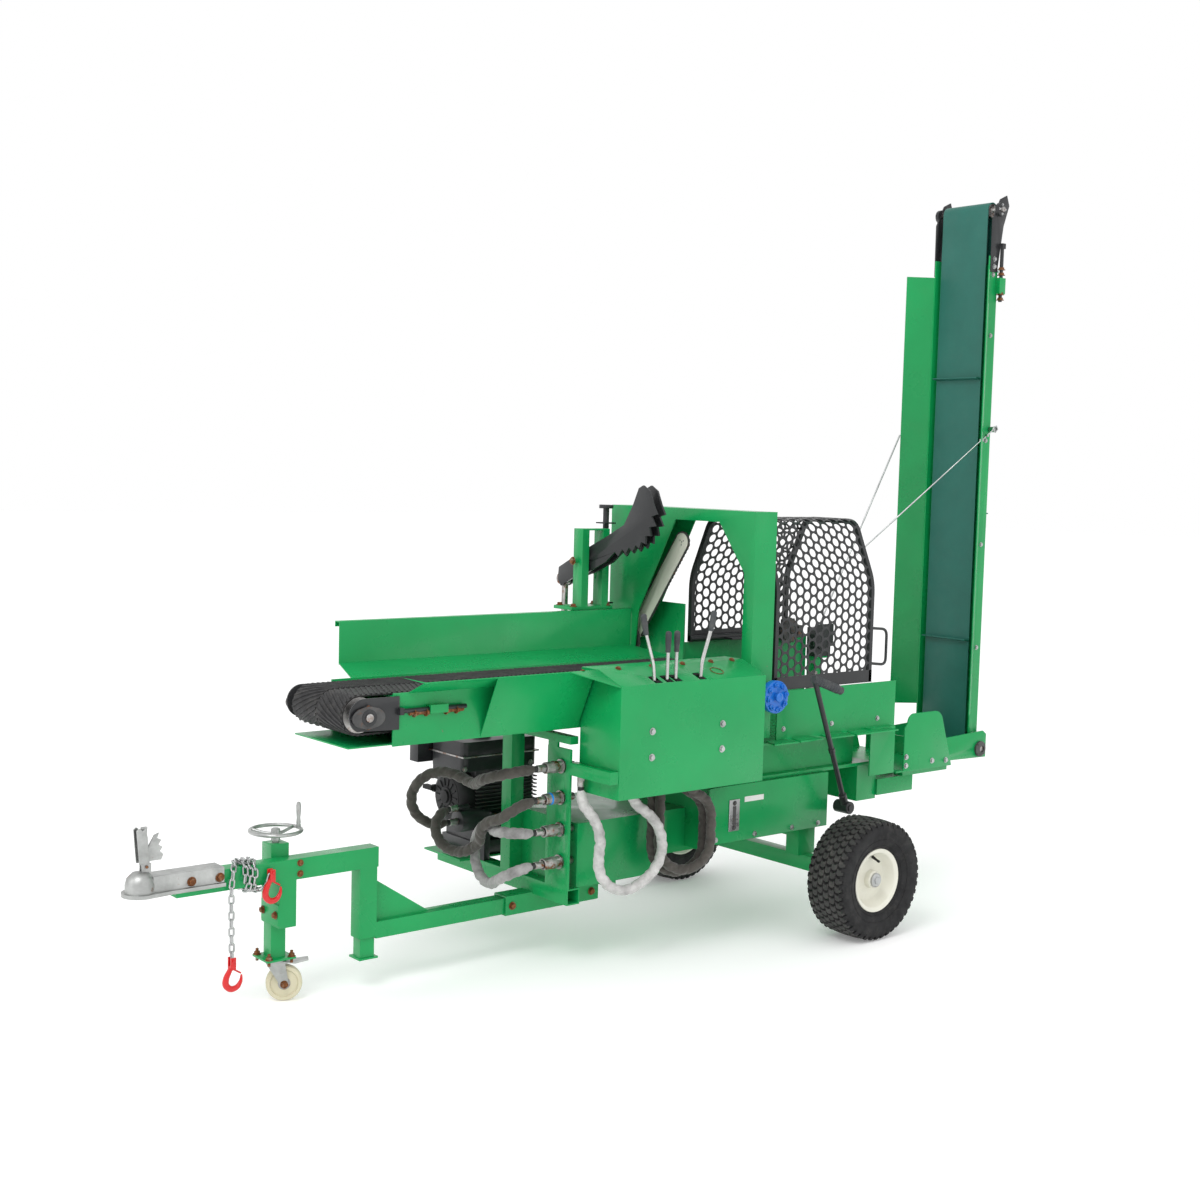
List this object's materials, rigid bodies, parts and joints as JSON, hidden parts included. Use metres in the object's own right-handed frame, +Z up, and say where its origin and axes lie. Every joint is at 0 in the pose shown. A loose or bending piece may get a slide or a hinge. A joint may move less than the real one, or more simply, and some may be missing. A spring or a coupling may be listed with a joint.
{
  "type": "towed firewood processor",
  "caption": "Towed log splitter with infeed belt, chain saw portal, grab arm, splitting bed under a mesh guard and a folded outfeed conveyor.",
  "frame": {"origin": "centre of the bounding box, on the ground", "axes": "+X to the outfeed end, +Y to the side away from the control levers, +Z up"},
  "size_m": [3.464, 1.154, 2.634],
  "materials": {
    "green_paint": "glossy enamel",
    "black_paint": "satin enamel",
    "black_plastic": "moulded, matt",
    "cream_paint": "satin enamel",
    "blue_paint": "satin enamel",
    "zinc": "zinc plated",
    "steel": "bare steel",
    "belt_rubber": "ribbed",
    "belt_green": "smooth",
    "tyre": "new",
    "sleeve_dark": "woven hose sleeve",
    "sleeve_grey": "woven hose sleeve"
  },
  "bodies": {
    "frame": {"tongue": "green_paint", "coupler": "zinc", "chassis": "green_paint", "hydraulic_tank": "green_paint", "engine_block": "black_paint", "recoil_starter": "black_plastic", "fuel_tank": "black_paint", "hydraulic_pump": "black_paint", "quick_couplings": "steel", "control_box": "green_paint", "control_valve": "steel", "infeed_frame": "green_paint", "infeed_belt": "belt_rubber", "takeup_near": "black_paint", "takeup_far": "black_paint", "portal_frame": "green_paint", "saw_motor": "steel", "clamp_bracket": "green_paint", "clamp_barrel": "black_paint", "feed_cylinder": "black_paint", "splitter_bed": "green_paint", "ram_barrel": "green_paint", "drive_motor": "blue_paint", "outfeed_base": "green_paint", "safety_chain": "zinc", "hose_suction": "sleeve_dark", "hose_return": "sleeve_dark", "hose_jumper": "sleeve_grey", "hose_valve": "sleeve_grey", "winch_cable": "steel"},
    "latch": {"coupler_latch": "zinc"},
    "jack": {"jack_post": "green_paint"},
    "handwheel": {"jack_handwheel": "zinc"},
    "fork": {"castor_fork": "zinc"},
    "castor": {"castor_wheel": "cream_paint"},
    "foot": {"parking_foot": "green_paint"},
    "wheel_near": {"tyre_near": "tyre", "rim_near": "cream_paint"},
    "wheel_far": {"tyre_far": "tyre", "rim_far": "cream_paint"},
    "lever_1": {"control_lever_1": "zinc"},
    "lever_2": {"control_lever_2": "zinc"},
    "lever_3": {"control_lever_3": "zinc"},
    "lever_4": {"control_lever_4": "zinc"},
    "roller_front": {"infeed_roller_front": "steel"},
    "roller_rear": {"infeed_roller_rear": "steel"},
    "saw": {"saw_bar": "cream_paint"},
    "clamp": {"clamp_arm": "black_paint"},
    "clamp_piston": {"clamp_rod": "steel"},
    "ram": {"splitter_ram": "steel"},
    "wedge": {"splitting_wedge": "steel"},
    "wedge_handle": {"wedge_lever": "black_paint"},
    "hood": {"guard_hood": "black_paint"},
    "conveyor": {"outfeed_frame": "green_paint", "outfeed_takeup_near": "black_paint", "outfeed_takeup_far": "black_paint", "outfeed_belt": "belt_green"},
    "conveyor_roller_top": {"outfeed_roller_top": "steel"},
    "conveyor_roller_bottom": {"outfeed_roller_bottom": "steel"},
    "drum": {"winch_drum": "steel"}
  },
  "joints": [
    {"name": "latch_hinge", "type": "hinge", "parent": "frame", "child": "latch", "pos_m": [-1.668, 0, 0.461], "axis": [0, 1, 0], "range_deg": [0, 80]},
    {"name": "jack_lift", "type": "slide", "parent": "frame", "child": "jack", "axis": [0, 0, -1], "range_m": [-0.05, 0.1]},
    {"name": "jack_screw", "type": "hinge", "parent": "frame", "child": "handwheel", "pos_m": [-1.252, 0.055, 0.497], "axis": [0, 0, 1], "range_deg": [-2999, 5999]},
    {"name": "castor_swivel", "type": "hinge", "parent": "jack", "child": "fork", "pos_m": [-1.252, 0.055, 0.12], "axis": [0, 0, 1], "continuous": true},
    {"name": "castor_spin", "type": "hinge", "parent": "fork", "child": "castor", "pos_m": [-1.22704, 0.04232, 0.052], "axis": [0.4529, 0.8916, 0], "continuous": true},
    {"name": "foot_slide", "type": "slide", "parent": "frame", "child": "foot", "axis": [0, 0, -1], "range_m": [-0.012, 0.09]},
    {"name": "wheel_near_spin", "type": "hinge", "parent": "frame", "child": "wheel_near", "pos_m": [0.672, -0.48, 0.203], "axis": [0, 1, 0], "continuous": true},
    {"name": "wheel_far_spin", "type": "hinge", "parent": "frame", "child": "wheel_far", "pos_m": [0.672, 0.48, 0.203], "axis": [0, 1, 0], "continuous": true},
    {"name": "lever_1_hinge", "type": "hinge", "parent": "frame", "child": "lever_1", "pos_m": [-0.197, -0.372, 0.85], "axis": [1, 0, 0], "range_deg": [-9, 9], "stiffness_Nm_per_rad": 6},
    {"name": "lever_2_hinge", "type": "hinge", "parent": "frame", "child": "lever_2", "pos_m": [-0.151, -0.372, 0.85], "axis": [1, 0, 0], "range_deg": [-9, 9], "stiffness_Nm_per_rad": 6},
    {"name": "lever_3_hinge", "type": "hinge", "parent": "frame", "child": "lever_3", "pos_m": [-0.115, -0.372, 0.85], "axis": [1, 0, 0], "range_deg": [-9, 9], "stiffness_Nm_per_rad": 6},
    {"name": "lever_4_hinge", "type": "hinge", "parent": "frame", "child": "lever_4", "pos_m": [-0.014, -0.372, 0.85], "axis": [1, 0, 0], "range_deg": [-9, 9], "stiffness_Nm_per_rad": 6},
    {"name": "roller_front_spin", "type": "hinge", "parent": "frame", "child": "roller_front", "pos_m": [-1.117, -0.03, 0.848], "axis": [0, 1, 0], "continuous": true},
    {"name": "roller_rear_spin", "type": "hinge", "parent": "frame", "child": "roller_rear", "pos_m": [0.27, -0.03, 0.848], "axis": [0, 1, 0], "continuous": true},
    {"name": "saw_swing", "type": "hinge", "parent": "frame", "child": "saw", "pos_m": [0.372, 0.39, 0.958], "axis": [1, 0, 0], "range_deg": [0, 62]},
    {"name": "clamp_swing", "type": "hinge", "parent": "frame", "child": "clamp", "pos_m": [0.172, 0.412, 1.227], "axis": [1, 0, 0], "range_deg": [0, 50]},
    {"name": "clamp_push", "type": "slide", "parent": "frame", "child": "clamp_piston", "axis": [0, 0, 1], "range_m": [0, 0.129]},
    {"name": "ram_push", "type": "slide", "parent": "frame", "child": "ram", "axis": [1, 0, 0], "range_m": [0, 0.29]},
    {"name": "wedge_height", "type": "slide", "parent": "frame", "child": "wedge", "axis": [0, 0, 1], "range_m": [-0.02, 0.069]},
    {"name": "wedge_lever_hinge", "type": "hinge", "parent": "frame", "child": "wedge_handle", "pos_m": [0.764, -0.306, 0.4], "axis": [0, 1, 0], "range_deg": [-11.6, 39.8]},
    {"name": "hood_hinge", "type": "hinge", "parent": "frame", "child": "hood", "pos_m": [0.694, 0.188, 0.946], "axis": [-1, 0, 0], "range_deg": [0, 65]},
    {"name": "conveyor_fold", "type": "hinge", "parent": "frame", "child": "conveyor", "pos_m": [1.672, -0.024, 0.505], "axis": [0, 1, 0], "range_deg": [0, 62]},
    {"name": "conveyor_top_spin", "type": "hinge", "parent": "conveyor", "child": "conveyor_roller_top", "pos_m": [1.672, -0.024, 2.576], "axis": [0, 1, 0], "continuous": true},
    {"name": "conveyor_bottom_spin", "type": "hinge", "parent": "conveyor", "child": "conveyor_roller_bottom", "pos_m": [1.672, -0.024, 0.505], "axis": [0, 1, 0], "continuous": true},
    {"name": "winch_spin", "type": "hinge", "parent": "frame", "child": "drum", "pos_m": [1.102, 0.169, 0.915], "axis": [0, 1, 0], "range_deg": [0, 1970]}
  ],
  "couplings": [
    {"joint": "jack_lift", "follows": "jack_screw", "m_per_rad": 0.000955},
    {"joint": "roller_rear_spin", "follows": "roller_front_spin", "ratio": 1},
    {"joint": "clamp_push", "follows": "clamp_swing", "m_per_rad": 0.1475},
    {"joint": "wedge_lever_hinge", "follows": "wedge_height", "rad_per_m": 10},
    {"joint": "conveyor_bottom_spin", "follows": "conveyor_top_spin", "ratio": 1},
    {"joint": "winch_spin", "follows": "conveyor_fold", "ratio": 31.7}
  ]
}
